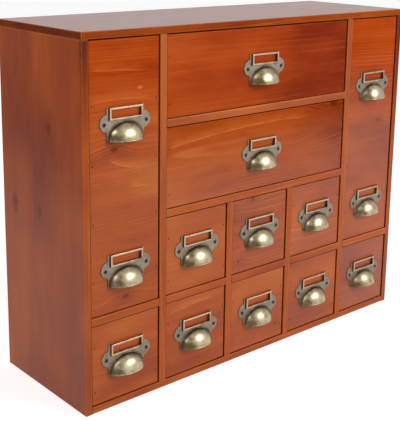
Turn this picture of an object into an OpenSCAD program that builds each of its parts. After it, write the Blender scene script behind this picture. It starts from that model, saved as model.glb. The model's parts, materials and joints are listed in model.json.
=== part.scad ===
// Desktop drawer organizer: a stained pine case with twelve inset drawers,
// each opened by a stamped cup pull that carries a label frame.
// Millimetres. +Z is up and the drawers open towards -Y.
// The origin is the centre of the case's footprint, on the surface it stands on.

/* [Case] */
// Overall width of the case
case_w = 500; // [420:1:620]
// Overall height of the case
case_h = 406; // [330:1:500]
// Overall depth of the case, without the pulls
case_d = 162; // [130:1:220]
// Thickness of the top, the sides and the bottom
outer_board = 8; // [6:0.5:12]
// Thickness of the partitions, dividers and shelves
inner_board = 9; // [6:0.5:12]
// Thickness of the back panel
back_t = 3; // [2:0.5:5]
// Width of the rebate that the back panel lies in
rebate_w = 4; // [2:0.5:5]
// Depth of the housings that board ends are let into
housing = 2; // [1:0.5:3]
// Distance that a housing stops short of the front edge
housing_stop = 10; // [4:1:20]
// Radius of the eased front edges of boards and drawer fronts
ease_r = 1; // [0.4:0.1:2]
// Gap at each face of a glued or nailed joint
glue_gap = 0.1; // [0.05:0.05:0.2]

/* [Drawers] */
// Thickness of the drawer fronts
front_t = 10; // [10:0.5:14]
// Distance of the drawer fronts behind the front edges of the case
front_recess = 1.5; // [0:0.5:4]
// Gap at each side of a drawer
side_gap = 0.9; // [0.5:0.1:2]
// Gap over a drawer
top_gap = 1.3; // [0.5:0.1:3]
// Gap between a drawer and the board it slides on
run_gap = 0.3; // [0.2:0.1:0.6]
// Gap between a closed drawer and the back panel
rear_gap = 0.5; // [0.3:0.1:3]
// Thickness of the tray's sides and back
tray_wall = 7; // [6:0.5:9]
// Distance of the tray's upper edge below the top of its front
tray_drop = 4; // [0:1:15]
// Thickness of the drawer bottoms
bottom_t = 3; // [2:0.5:5]
// Height of the drawer bottom over the drawer's lower edge
bottom_rise = 5; // [3:0.5:8]
// Depth of the grooves that hold the drawer bottom
groove = 3; // [2:0.5:4]

/* [Cup pull] */
// Width of the pull's plate, without the ears
plate_w = 47; // [45:0.5:52]
// Height of the pull's plate
plate_h = 34.5; // [34:0.5:44]
// Thickness of the pull's plate
plate_t = 1.2; // [0.8:0.1:2]
// Width over both ears
ear_span = 64; // [60:0.5:76]
// Radius of an ear
ear_r = 9; // [7:0.5:11]
// Height of the ears' centres over the lower edge of the plate
ear_rise = 18.5; // [14:0.5:22]
// Radius of the fillets between the ears and the plate
ear_fillet = 1.6; // [0.5:0.1:3]
// Radius of the plate's eased front edges
plate_ease = 0.4; // [0.2:0.1:0.6]
// Width of the label frame's raised rim
rim_w = 41.5; // [36:0.5:44]
// Height of the raised rim
rim_h = 13; // [10:0.5:14]
// Height of the rim's face over the wood
rim_proud = 3.3; // [2.6:0.1:5]
// Width of the rim's bars round the window
rim_bar = 2; // [1.4:0.1:3]
// Radius of the rim's eased outer edges
rim_ease = 0.5; // [0.2:0.1:0.8]
// Depth of the slot that takes the label card, open at the top
card_slot = 1.7; // [1.3:0.1:2]
// Width of the lip that keeps the card behind the window
card_lip = 1.1; // [0.6:0.1:1.2]
// Radius of the cup where it meets the wood
cup_r = 22.4; // [18:0.1:22.6]
// Distance that the cup stands out from the wood
cup_depth = 14; // [12:0.5:18]
// Distance of the centre of the cup's circle below the cup's lower edge
cup_drop = 3.6; // [1:0.1:5]
// Wall thickness of the cup
cup_wall = 1.1; // [0.8:0.1:1.6]
// Radius of the bead round the foot of the cup
bead_r = 0.6; // [0.4:0.1:1]
// Distance of that bead from the foot of the cup
bead_gap = 0.7; // [0.5:0.1:1.6]
// Radius of the rolled lip along the cup's lower edge
lip_r = 0.8; // [0.6:0.05:1]
// Height of the pull's centre over the centre of a one-row front
pull_rise = 2.5; // [0:0.5:10]
// Distance that a wide drawer's pull sits lower than that
wide_pull_drop = 4.7; // [0:0.1:8]
// Distance of a tall drawer's upper pull below the top of its front
tall_pull_drop = 86; // [60:1:120]

/* [Fasteners] */
// Distance between the two screws of a pull
screw_spacing = 53; // [50:0.5:58]
// Height of the screws over the lower edge of the plate
screw_rise = 17.5; // [14:0.5:21]
// Radius of the screw heads
screw_head_r = 1.9; // [1.6:0.1:2.4]
// Radius of the screw shanks
screw_r = 1.1; // [0.8:0.1:1.4]
// Length of the screws
screw_len = 9; // [6:0.5:10]
// Radius of the headless nails
nail_r = 0.75; // [0.6:0.05:1.2]
// Length of the nails
nail_len = 24; // [18:1:30]
// Gap round a nail or a screw
fastener_gap = 0.08; // [0.05:0.01:0.15]
// Height of the lowest nail over the lower edge of a one-row front
nail_low = 15; // [12:1:25]
// Distance of the highest nail below the top of a one-row front
nail_high = 24; // [12:1:30]
// Height of the lowest nail over the lower edge of a tall front
tall_nail_low = 38; // [12:1:60]
// Distance of the highest nail below the top of a tall front
tall_nail_high = 65; // [12:1:90]

/* [Hidden] */
// Places of the drawers: name, first column, first row from below, columns, rows
DRAWERS = [
    ["left_tall", 0, 1, 1, 3],
    ["left_low", 0, 0, 1, 1],
    ["wide_upper", 1, 3, 3, 1],
    ["wide_lower", 1, 2, 3, 1],
    ["small_upper_left", 1, 1, 1, 1],
    ["small_upper_centre", 2, 1, 1, 1],
    ["small_upper_right", 3, 1, 1, 1],
    ["small_lower_left", 1, 0, 1, 1],
    ["small_lower_centre", 2, 0, 1, 1],
    ["small_lower_right", 3, 0, 1, 1],
    ["right_tall", 4, 1, 1, 3],
    ["right_low", 4, 0, 1, 1],
];
columns = 5;
rows = 4;

CASE_NODES = [
    "top_board", "side_left", "side_right", "bottom_board", "back_panel",
    "partition_left", "partition_right", "divider_left", "divider_right",
    "shelf_upper", "shelf_middle", "shelf_lower",
];

case_wood = [0.52, 0.22, 0.11];
front_wood = [0.66, 0.30, 0.13];
tray_wood = [0.80, 0.62, 0.40];
antique_brass = [0.60, 0.55, 0.42];
dark_steel = [0.20, 0.17, 0.14];

// Ends of the case, and the room inside it
front_y = -case_d / 2;
back_y = case_d / 2;
inner_w = case_w - 2 * outer_board;
inner_h = case_h - 2 * outer_board;
inner_d = case_d - back_t;
cell_w = (inner_w - (columns - 1) * inner_board) / columns;
cell_h = (inner_h - (rows - 1) * inner_board) / rows;

// Length of a whole drawer and of its tray's sides
drawer_d = inner_d - front_recess - rear_gap;
tray_d = drawer_d - front_t;

// Sphere that the cup is a part of, and how far behind the wood its centre lies
cup_sphere = (cup_r * cup_r + cup_depth * cup_depth) / (2 * cup_depth);
cup_back = cup_sphere - cup_depth;

// Middle of an ear, the thickness of the webs beside it, a little under the plate's face,
// and how far a web's round bites into its neighbours
ear_x = ear_span / 2 - ear_r;
web_t = plate_t - plate_ease / 3;
web_bite = 0.05;

// Opening of the label frame
window_w = rim_w - 2 * rim_bar;
window_h = rim_h - 2 * rim_bar;

// Small excess that lets a cut run clear of the face it opens
clear = 1;
ease_steps = 3;
$fn = 48;

function node_name(d, piece) = str(d[0], "_", piece, piece == "pull" && d[4] > 1 ? "s" : "");

// Centre of an upright between two columns, and of a shelf between two rows
function upright_x(n) = -inner_w / 2 + n * (cell_w + inner_board) - inner_board / 2;
function shelf_z(n) = outer_board + n * (cell_h + inner_board) - inner_board / 2;

// Width and height of an opening that spans several cells
function span_w(n) = n * cell_w + (n - 1) * inner_board;
function span_h(n) = n * cell_h + (n - 1) * inner_board;

// Outer size of a drawer front
function front_w(d) = span_w(d[3]) - 2 * side_gap;
function front_h(n) = span_h(n) - run_gap - top_gap;

// Middle of a drawer across the case, and its lower edge
function drawer_x(d) = -inner_w / 2 + d[1] * (cell_w + inner_board) + span_w(d[3]) / 2;
function drawer_z(d) = outer_board + d[2] * (cell_h + inner_board) + run_gap;

// Lower edges of a drawer's pulls, over the drawer's own lower edge
function low_pull(d) = front_h(1) / 2 + pull_rise - (d[3] > 1 ? wide_pull_drop : 0) - plate_h / 2;
function high_pull(d) = front_h(d[4]) - tall_pull_drop - plate_h / 2;
function pull_heights(d) = d[4] > 1 ? [low_pull(d), high_pull(d)] : [low_pull(d)];

// Heights of the nails in a front, one more than the rows it spans
function nail_first(d) = d[4] > 1 ? tall_nail_low : nail_low;
function nail_last(d) = front_h(d[4]) - (d[4] > 1 ? tall_nail_high : nail_high);
function nail_heights(d) = [
    for (i = [0:d[4]]) nail_first(d) + (nail_last(d) - nail_first(d)) * i / d[4],
];

function arc_points(centre, r, from, to) = [
    for (i = [0:ease_steps])
        let (a = from + (to - from) * i / ease_steps)
            centre + r * [cos(a), sin(a)],
];

// Cross-section of a board: depth along x from its front edge, thickness about y = 0,
// with both front corners eased
function board_section(t, d, r) = concat(
    arc_points([r, r - t / 2], r, 270, 180),
    arc_points([r, t / 2 - r], r, 180, 90),
    [[d, t / 2], [d, -t / 2]]
);

// Board that runs along z from its lower end
module board(length, t, d, r = ease_r) {
    linear_extrude(height = length)
        polygon(board_section(t, d, r));
}

// Board with a tongue on both ends, which stops short of the front edge
module housed_board(length, t, d) {
    board(length, t, d);
    translate([housing_stop, -t / 2, -housing])
        cube([d - housing_stop, t, length + 2 * housing]);
}

// Room that both tongues of a housed board take up in its neighbours
module housing_cut(length, t, d) {
    translate([housing_stop - glue_gap, -t / 2 - glue_gap, -housing - glue_gap])
        cube([d - housing_stop + 2 * glue_gap, t + 2 * glue_gap, length + 2 * (housing + glue_gap)]);
}

// Puts a board upright, with its thickness about the given x
module stand(x, z) {
    translate([x, front_y, z])
        rotate([0, 0, 90])
            children();
}

// Lays a board flat, with its thickness about the given z
module lay(x, z) {
    translate([x, front_y, z])
        rotate([90, 0, 90])
            children();
}

// Block with its four front edges eased, its front face at y = 0 and its lower edge at z = 0
module eased_block(w, h, t, r) {
    intersection() {
        translate([-w / 2, 0, h / 2])
            rotate([90, 0, 90])
                board(w, h, t, r);
        rotate([0, 0, 90])
            board(h, w, t, r);
    }
}

// Room for the back panel, open to the rear
module back_recess() {
    translate([-inner_w / 2 - rebate_w, back_y - back_t, outer_board - rebate_w])
        cube([inner_w + 2 * rebate_w, back_t + clear, inner_h + 2 * rebate_w]);
}

// Housing cuts of the boards that end in another board
module partition_cuts() {
    for (n = [1, columns - 1])
        stand(upright_x(n), outer_board)
            housing_cut(inner_h, inner_board, inner_d);
}

module divider_cuts() {
    for (n = [2, columns - 2])
        stand(upright_x(n), outer_board)
            housing_cut(span_h(2), inner_board, inner_d);
}

module short_shelf_cuts() {
    for (n = [2, 3])
        lay(upright_x(1) + inner_board / 2, shelf_z(n))
            housing_cut(span_w(3), inner_board, inner_d);
}

// Slot from the rear that lets an upright drop over the lower shelf
module upright_halving(n) {
    translate([upright_x(n) - inner_board, front_y + inner_d / 2 - glue_gap,
               shelf_z(1) - inner_board / 2 - glue_gap])
        cube([2 * inner_board, inner_d, inner_board + 2 * glue_gap]);
}

// Slots from the front that let the lower shelf take the uprights
module shelf_halvings() {
    for (n = [1:columns - 1])
        translate([upright_x(n) - inner_board / 2 - glue_gap, front_y - clear, shelf_z(1) - inner_board])
            cube([inner_board + 2 * glue_gap, clear + inner_d / 2 + glue_gap, 2 * inner_board]);
}

module top_board() {
    color(case_wood)
        difference() {
            intersection() {
                lay(-case_w / 2, case_h - outer_board / 2)
                    board(case_w, outer_board, case_d);
                translate([0, back_y, case_h - outer_board])
                    rotate([90, 0, 0])
                        linear_extrude(height = case_d)
                            polygon(top_ends());
            }
            back_recess();
            partition_cuts();
        }
}

// Outline of the top board seen from the front, with its upper corners eased
function top_ends() = concat(
    [[-case_w / 2, 0], [case_w / 2, 0]],
    arc_points([case_w / 2 - ease_r, outer_board - ease_r], ease_r, 0, 90),
    arc_points([ease_r - case_w / 2, outer_board - ease_r], ease_r, 90, 180)
);

// A side stands on the floor and ends under the top board
module case_side(side) {
    color(case_wood)
        difference() {
            stand(side * (case_w - outer_board) / 2, 0)
                board(case_h - outer_board, outer_board, case_d);
            back_recess();
            lay(-inner_w / 2, outer_board / 2)
                housing_cut(inner_w, outer_board, case_d);
            lay(-inner_w / 2, shelf_z(1))
                housing_cut(inner_w, inner_board, inner_d);
        }
}

module bottom_board() {
    color(case_wood)
        difference() {
            lay(-inner_w / 2, outer_board / 2)
                housed_board(inner_w, outer_board, case_d);
            back_recess();
            partition_cuts();
            divider_cuts();
        }
}

module back_panel() {
    color(tray_wood)
        translate([glue_gap - inner_w / 2 - rebate_w, back_y - back_t, outer_board - rebate_w + glue_gap])
            cube([inner_w + 2 * (rebate_w - glue_gap), back_t, inner_h + 2 * (rebate_w - glue_gap)]);
}

// Full-height upright beside the outer columns
module partition(n) {
    color(case_wood)
        difference() {
            stand(upright_x(n), outer_board)
                housed_board(inner_h, inner_board, inner_d);
            upright_halving(n);
            short_shelf_cuts();
        }
}

// Upright between the small drawers
module divider(n) {
    color(case_wood)
        difference() {
            stand(upright_x(n), outer_board)
                housed_board(span_h(2), inner_board, inner_d);
            upright_halving(n);
        }
}

// Shelf between the partitions, under a wide drawer
module short_shelf(n) {
    color(case_wood)
        lay(upright_x(1) + inner_board / 2, shelf_z(n))
            housed_board(span_w(3), inner_board, inner_d);
}

module shelf_middle() {
    difference() {
        short_shelf(2);
        divider_cuts();
    }
}

// Shelf over the bottom row, which runs the whole width
module shelf_lower() {
    color(case_wood)
        difference() {
            lay(-inner_w / 2, shelf_z(1))
                housed_board(inner_w, inner_board, inner_d);
            shelf_halvings();
        }
}

// Drawer frame: x from the drawer's middle, y from the face of its front, z from its lower edge
module at_drawer(d) {
    translate([drawer_x(d), front_y + front_recess, drawer_z(d)])
        children();
}

// Pull frame: y = 0 on the wood, z = 0 at the plate's lower edge
module at_pulls(d) {
    for (z = pull_heights(d))
        translate([0, 0, z])
            children();
}

// Solid of revolution for a countersunk screw that points along +y from y = 0
module screw(gap) {
    rotate([-90, 0, 0])
        rotate_extrude()
            polygon([
                [0, -gap],
                [screw_head_r + gap, -gap],
                [screw_r + gap, screw_head_r - screw_r],
                [screw_r + gap, screw_len - screw_r],
                [0, screw_len + gap],
            ]);
}

module pull_screws(gap = 0) {
    for (side = [-1, 1])
        translate([side * screw_spacing / 2, -plate_t, screw_rise])
            screw(gap);
}

// Nails driven through a front into the ends of its tray's sides
module face_nails(d, gap = 0) {
    for (side = [-1, 1])
        for (z = nail_heights(d))
            translate([side * (front_w(d) - tray_wall) / 2, -gap, z])
                rotate([-90, 0, 0])
                    cylinder(r = nail_r + gap, h = nail_len + 2 * gap);
}

// Nails driven through the tray's sides into its back
module tray_nails(d, gap = 0) {
    for (side = [-1, 1])
        for (z = nail_heights(d))
            translate([side * (front_w(d) / 2 + gap), drawer_d - tray_wall / 2, z])
                rotate([0, -side * 90, 0])
                    cylinder(r = nail_r + gap, h = nail_len + 2 * gap);
}

// Drawer bottom, grown by a gap for the grooves that hold it
module bottom_sheet(d, gap = 0) {
    sheet_w = front_w(d) - 2 * (tray_wall - groove + glue_gap);
    sheet_y = front_t - groove + glue_gap;
    translate([-sheet_w / 2 - gap, sheet_y - gap, bottom_rise + glue_gap - gap])
        cube([sheet_w + 2 * gap, drawer_d - sheet_y + 2 * gap, bottom_t + 2 * gap]);
}

module drawer_front(d) {
    color(front_wood)
        at_drawer(d)
            difference() {
                eased_block(front_w(d), front_h(d[4]), front_t, ease_r);
                bottom_sheet(d, glue_gap);
                face_nails(d, fastener_gap);
                at_pulls(d)
                    pull_screws(fastener_gap);
            }
}

// Two sides, a back that stands on the bottom, and the bottom in its grooves
module drawer_tray(d) {
    wall_h = front_h(d[4]) - tray_drop;
    back_w = front_w(d) - 2 * (tray_wall + glue_gap);
    back_z = bottom_rise + bottom_t + 3 * glue_gap;
    color(tray_wood)
        at_drawer(d) {
            difference() {
                for (side = [-1, 1])
                    translate([side * (front_w(d) - tray_wall) / 2 - tray_wall / 2, front_t + glue_gap, 0])
                        cube([tray_wall, tray_d - glue_gap, wall_h]);
                bottom_sheet(d, glue_gap);
                face_nails(d, fastener_gap);
                tray_nails(d, fastener_gap);
            }
            difference() {
                translate([-back_w / 2, drawer_d - tray_wall, back_z])
                    cube([back_w, tray_wall, wall_h - back_z]);
                tray_nails(d, fastener_gap);
            }
            bottom_sheet(d);
        }
}

module drawer_fasteners(d) {
    color(dark_steel)
        at_drawer(d) {
            face_nails(d);
            tray_nails(d);
            at_pulls(d)
                pull_screws();
        }
}

// Half of an ear's cross-section, from its centre out to its eased front edge
function ear_section() = concat(
    [[0, 0], [ear_r, 0]],
    arc_points([ear_r - plate_ease, plate_t - plate_ease], plate_ease, 0, 90),
    [[0, plate_t]]
);

// Web that rounds the corner between an ear and the upright edge of the plate.
// Its circle bites a little into both, so that their edges cross cleanly.
module ear_web() {
    web_x = plate_w / 2 + ear_fillet - web_bite;
    web_z = sqrt(pow(ear_r + ear_fillet - web_bite, 2) - pow(web_x - ear_x, 2));
    difference() {
        polygon([[ear_x, 0], [web_x, web_z], [ear_x, web_z]]);
        translate([web_x, web_z])
            circle(r = ear_fillet);
    }
}

// Plate with a round ear on each side
module ear_plate() {
    translate([0, -plate_t, 0])
        eased_block(plate_w, plate_h, plate_t, plate_ease);
    for (side = [0, 1])
        mirror([side, 0, 0])
            translate([0, 0, ear_rise])
                rotate([90, 0, 0]) {
                    translate([ear_x, 0])
                        rotate_extrude()
                            polygon(ear_section());
                    for (end = [0, 1])
                        mirror([0, end, 0])
                            linear_extrude(height = web_t)
                                ear_web();
                }
}

// Sphere about the centre of the cup
module cup_ball(r) {
    translate([0, cup_back, -cup_drop])
        sphere(r = r);
}

// Bead pressed into the plate round the foot of the cup
module foot_bead() {
    translate([0, -plate_t, -cup_drop])
        rotate([90, 0, 0])
            rotate_extrude()
                translate([cup_r + bead_gap, 0])
                    circle(r = bead_r);
}

// Rolled lip along the lower edge of the cup
module rolled_lip() {
    lip_ring = sqrt(cup_sphere * cup_sphere - cup_drop * cup_drop);
    translate([0, cup_back, lip_r / 2])
        rotate_extrude()
            translate([lip_ring - lip_r / 2, 0])
                circle(r = lip_r);
}

// Everything of the pull that stands in front of the wood and over its lower edge
module pull_reach() {
    translate([-ear_span, -cup_depth - 2 * lip_r, 0])
        cube([2 * ear_span, cup_depth + 2 * lip_r, 2 * plate_h]);
}

// Window through the label frame, and the slot behind it for a card
module label_window() {
    window_z = plate_h - rim_bar - window_h;
    translate([-window_w / 2, -rim_proud - clear, window_z])
        cube([window_w, rim_proud + 2 * clear, window_h]);
    translate([-window_w / 2 - card_lip, -card_slot, window_z - card_lip])
        cube([window_w + 2 * card_lip, card_slot + clear, plate_h]);
}

// One stamped piece: plate with two ears, label frame, and a hollow cup that is open below
module cup_pull() {
    difference() {
        intersection() {
            union() {
                ear_plate();
                translate([0, -rim_proud, plate_h - rim_h])
                    eased_block(rim_w, rim_h, rim_proud, rim_ease);
                cup_ball(cup_sphere);
                foot_bead();
                rolled_lip();
            }
            pull_reach();
        }
        cup_ball(cup_sphere - cup_wall);
        label_window();
        pull_screws(fastener_gap);
    }
}

module drawer_pulls(d) {
    color(antique_brass)
        at_drawer(d)
            at_pulls(d)
                cup_pull();
}

top_board();
case_side(-1);  // side_left
case_side(1);  // side_right
bottom_board();
back_panel();
partition(1);  // partition_left
partition(columns - 1);  // partition_right
divider(2);  // divider_left
divider(columns - 2);  // divider_right
short_shelf(3);  // shelf_upper
shelf_middle();
shelf_lower();
for (d = DRAWERS) {
    drawer_front(d);
    drawer_tray(d);
    drawer_pulls(d);
    drawer_fasteners(d);
}
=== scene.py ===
import json
import math
from functools import partial, reduce
from typing import NamedTuple

import bmesh
import bpy
import numpy as np
from bpy.props import FloatProperty, FloatVectorProperty, IntProperty, PointerProperty
from mathutils import Euler, Matrix, Vector
from mathutils.geometry import tessellate_polygon

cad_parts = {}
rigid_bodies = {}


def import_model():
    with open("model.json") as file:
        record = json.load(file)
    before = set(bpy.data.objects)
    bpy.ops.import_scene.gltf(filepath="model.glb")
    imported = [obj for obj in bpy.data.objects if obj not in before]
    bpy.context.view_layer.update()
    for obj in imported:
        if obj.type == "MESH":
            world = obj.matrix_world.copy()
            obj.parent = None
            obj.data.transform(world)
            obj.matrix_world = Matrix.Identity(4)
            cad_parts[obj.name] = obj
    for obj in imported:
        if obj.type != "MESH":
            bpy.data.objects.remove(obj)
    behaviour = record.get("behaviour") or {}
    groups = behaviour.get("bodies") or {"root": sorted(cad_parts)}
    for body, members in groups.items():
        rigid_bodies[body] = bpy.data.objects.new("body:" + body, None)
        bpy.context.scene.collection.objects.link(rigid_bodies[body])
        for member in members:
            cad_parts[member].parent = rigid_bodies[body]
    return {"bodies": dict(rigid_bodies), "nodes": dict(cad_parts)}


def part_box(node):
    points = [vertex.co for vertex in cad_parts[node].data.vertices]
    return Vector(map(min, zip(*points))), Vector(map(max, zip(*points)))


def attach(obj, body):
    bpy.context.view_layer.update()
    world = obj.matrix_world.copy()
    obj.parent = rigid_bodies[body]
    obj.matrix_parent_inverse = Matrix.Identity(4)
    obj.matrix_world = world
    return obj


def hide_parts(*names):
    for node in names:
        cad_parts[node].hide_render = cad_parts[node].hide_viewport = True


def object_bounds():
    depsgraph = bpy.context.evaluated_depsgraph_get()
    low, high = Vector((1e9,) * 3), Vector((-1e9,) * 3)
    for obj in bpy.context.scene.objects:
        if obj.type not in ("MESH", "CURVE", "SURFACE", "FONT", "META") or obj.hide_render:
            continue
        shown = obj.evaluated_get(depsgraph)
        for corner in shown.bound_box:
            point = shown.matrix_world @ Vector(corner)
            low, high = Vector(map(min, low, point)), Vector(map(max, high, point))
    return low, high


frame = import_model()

bl_info = {
    "name": "Drawer organizer",
    "version": (1, 0, 0),
    "blender": (4, 5, 0),
    "location": "3D View > Sidebar > Organizer",
    "description": "Finishes a stained pine desktop organizer with cup pulls and sets its studio",
    "category": "Object",
}

CAD_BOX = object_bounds()
MM = 0.001

# Names of the drawers, and the node that holds the pull or the two pulls of each
BODY_TAIL = "_drawer"
DRAWERS = [body[: -len(BODY_TAIL)] for body in frame["bodies"] if body.endswith(BODY_TAIL)]
TALL_DRAWERS = ("left_tall", "right_tall")
TALL_FRONTS = [drawer + "_front" for drawer in TALL_DRAWERS]
PULL_NODES = {d: d + ("_pulls" if d in TALL_DRAWERS else "_pull") for d in DRAWERS}

# Boards of the case: the axis of the grain, and the axis across the board's thickness
LYING, UPRIGHT = ("X", "Z"), ("Z", "X")
CASE_BOARDS = {
    "top_board": LYING,
    "bottom_board": LYING,
    "side_left": UPRIGHT,
    "side_right": UPRIGHT,
    "partition_left": UPRIGHT,
    "partition_right": UPRIGHT,
    "divider_left": UPRIGHT,
    "divider_right": UPRIGHT,
    "shelf_upper": LYING,
    "shelf_middle": LYING,
    "shelf_lower": LYING,
}
# Direction in which the boards that can be seen from outside look into the case
INWARD = {
    "top_board": (0, 0, -1),
    "bottom_board": (0, 0, 1),
    "side_left": (1, 0, 0),
    "side_right": (-1, 0, 0),
}
# Turn that brings a grain axis to X
GRAIN_TURN = {
    "X": Euler((0, 0, 0)),
    "Y": Euler((0, 0, -math.pi / 2)),
    "Z": Euler((0, math.pi / 2, 0)),
}
# Thickness of a tray's walls
TRAY_WALL = 7 * MM

# Planes of the marks on the wood: the drawer fronts, the outer faces of the sides and the top
FACE = -79.5 * MM
(LEFT, _, _), (RIGHT, _, TOP) = CAD_BOX
# Knots of a board: centre and radius, in metres in the frame
KNOTS = {
    "side_left": [((LEFT, -0.018, 0.301), 0.0062), ((LEFT, 0.056, 0.2035), 0.0085),
                  ((LEFT, 0.004, 0.205), 0.0055)],
    "side_right": [((RIGHT, 0.031, 0.118), 0.0070), ((RIGHT, -0.040, 0.287), 0.0050)],
    "top_board": [((0.093, 0.036, TOP), 0.0065)],
    "wide_lower_front": [((0.124, FACE, 0.2945), 0.0060)],
    "small_upper_centre_front": [((-0.0123, FACE, 0.1955), 0.0032), ((-0.0340, FACE, 0.1220), 0.0026)],
    "small_lower_centre_front": [((0.0315, FACE, 0.0260), 0.0024)],
    "right_tall_front": [((0.214, FACE, 0.262), 0.0030)],
    # The two marks on the left tall front are dark spots just below its two pulls
    "left_tall_front": [((-0.1970, FACE, 0.1220), 0.0042), ((-0.2113, FACE, 0.2838), 0.0040)],
}
# Pale flecks that took no stain: centre and radius
FLECKS = {"left_tall_front": [((-0.1778, FACE, 0.3451), 0.0022)]}
# Single growth rings that stand out on a front: three points of each, across and up
ARCS = {
    "wide_lower_front": [((-0.141, 0.2738), (-0.062, 0.2817), (0.080, 0.2836))],
    "left_tall_front": [((-0.2405, 0.3662), (-0.2110, 0.3652), (-0.1600, 0.3620)),
                        ((-0.2405, 0.3350), (-0.2000, 0.3350), (-0.1545, 0.3318)),
                        ((-0.2220, 0.2760), (-0.1904, 0.2624), (-0.1530, 0.2630)),
                        ((-0.1960, 0.2420), (-0.1750, 0.2402), (-0.1545, 0.2396))],
    "small_lower_left_front": [((-0.142, 0.0830), (-0.110, 0.0872), (-0.060, 0.0880))],
}


class Finish(NamedTuple):
    """How one board takes its finish: stain more or less bright, its change per metre to the right
    and upwards, strength of the pale streaks, reflection of the surface, coat of lacquer and roughness."""

    tone: float
    lean: tuple
    streak: float
    gloss: float
    coat: float
    roughness: float


# Finish of the boards of the case, from tone to coat, and of each drawer front, from tone to gloss
EVEN = (0.0, 0.0)
PLAIN_FINISH = (-0.02, EVEN, 0.40, 0.20, 0.06)
SIDE_FINISH = (-0.22, EVEN, 0.12, 0.22, 0.05)
# The top's low tone is partly painted shade
TOP_FINISH = (-0.30, EVEN, 0.30, 0.28, 0.31)
FRONT_FINISH = {
    "left_tall": (0.02, (0.0, 0.8), 0.70, 0.25),
    "left_low": (-0.05, (0.6, 0.0), 0.28, 0.26),
    "wide_upper": (-0.14, (-2.2, 0.6), 0.28, 0.02),
    "wide_lower": (-0.11, (-1.8, 0.0), 0.28, 0.34),
    "small_upper_left": (0.03, (-0.8, -2.0), 0.28, 0.28),
    "small_upper_centre": (-0.13, (0.6, -0.8), 0.28, 0.36),
    "small_upper_right": (-0.08, (-0.6, -0.8), 0.28, 0.40),
    "small_lower_left": (-0.07, (0.8, 0.6), 0.28, 0.27),
    "small_lower_centre": (-0.04, (1.0, 0.6), 0.28, 0.31),
    "small_lower_right": (-0.16, (0.6, -2.5), 0.28, 0.37),
    "right_tall": (-0.14, (0.0, 1.2), 0.45, 0.42),
    "right_low": (-0.36, (2.4, 1.4), 0.28, 0.55),
}
# Coat of the drawer fronts, and the roughness of every coat
FRONT_COAT = 0.04
COAT_ROUGHNESS = 0.24
# Width of the rubbed edges of the boards, which also carry a painted highlight
RUBBED_AND_HIGHLIT_EDGE = 1.6 * MM
# The top's lacquer is smoother by this than that of the other boards
TOP_SMOOTHER = 0.04
# Depth in the log and offset across it of the tall fronts, which are cut near the pith
TALL_CUT = (0.016, -0.047)
# Boards that are dull above the first height and have their full gloss below the second, and the share
# of gloss that is left above if it isn't 0
DULL_HEIGHTS = {
    "side_left": (0.33, 0.15, 0.32),
    "side_right": (0.33, 0.15, 0.32),
    "left_tall_front": (0.37, 0.22),
    "right_tall_front": (0.37, 0.22),
    "wide_lower_front": (0.30, 0.205),
}
# Heights between which the upper fronts turn redder, and the tint that they reach
RED_HEIGHTS, RED_TINT = (0.24, 0.36), (1.0, 0.72, 0.75)
# Heights between which the tall fronts gain their streaks, and the share that they have below
STREAK_HEIGHTS, STREAK_LEAST = (0.17, 0.31), 0.35
# Heights between which painted shade darkens the front edges of the sides under the top, and by how much
SHADE_HEIGHTS, SHADE = (0.28, 0.39), -0.55

# Width of the rubbed edge of a pull's plate, and the gap round its screws
WORN_EDGE = 0.9 * MM
SCREW_GAP = 0.08 * MM
# Radii of the label frame's inner and outer corners
INNER_CORNER, OUTER_CORNER = 0.25 * MM, 0.60 * MM
# Where a cup is rubbed more or less, with painted highlights and painted dark reflections laid in: place
# across and up in half axes, spread and gain
CROWN_SPOTS_AND_HIGHLIGHTS = (
    (-0.72, 0.15, 0.22, -0.50),
    (-0.58, 0.60, 0.12, -0.18),
    (-0.20, 0.50, 0.30, 0.34),
    (-0.84, 0.55, 0.14, 0.34),
    (0.45, 0.20, 0.30, 0.16),
)
# Points nearer than this are merged, edges shorter than this are dropped, and sharper edges stay sharp
MERGE_REACH, SLIVER = 2e-6, 1e-7
SHARP_ANGLE = math.radians(38)

# Height in pixels of the picture that the camera is set for, its longer side, and the sensor's width
PICTURE_H = 421
SENSOR_W = 36.0
# Half the width of the floor, and how far it lies below the case
FLOOR_REACH, FLOOR_DROP = 8.0, 0.2 * MM


def length_property(name, description, millimetres):
    """A length, given in millimetres."""
    return FloatProperty(name=name, description=description, unit="LENGTH", default=millimetres * MM)


def share_property(name, description, default):
    """A number from 0 to 1."""
    return FloatProperty(name=name, description=description, subtype="FACTOR", min=0, max=1, default=default)


def angle_property(name, description, degrees):
    """An angle, given in degrees."""
    return FloatProperty(name=name, description=description, subtype="ANGLE", default=math.radians(degrees))


def power_property(name, description, watts):
    """The power of a lamp."""
    return FloatProperty(name=name, description=description, unit="POWER", min=0, default=watts)


def place_property(name, description, default):
    """A point in metres."""
    return FloatVectorProperty(name=name, description=description, subtype="XYZ", unit="LENGTH", size=3,
                               default=default)


def colour_property(name, description, default):
    """A linear colour."""
    return FloatVectorProperty(name=name, description=description, subtype="COLOR", size=3, min=0, max=1,
                               default=default)


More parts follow.
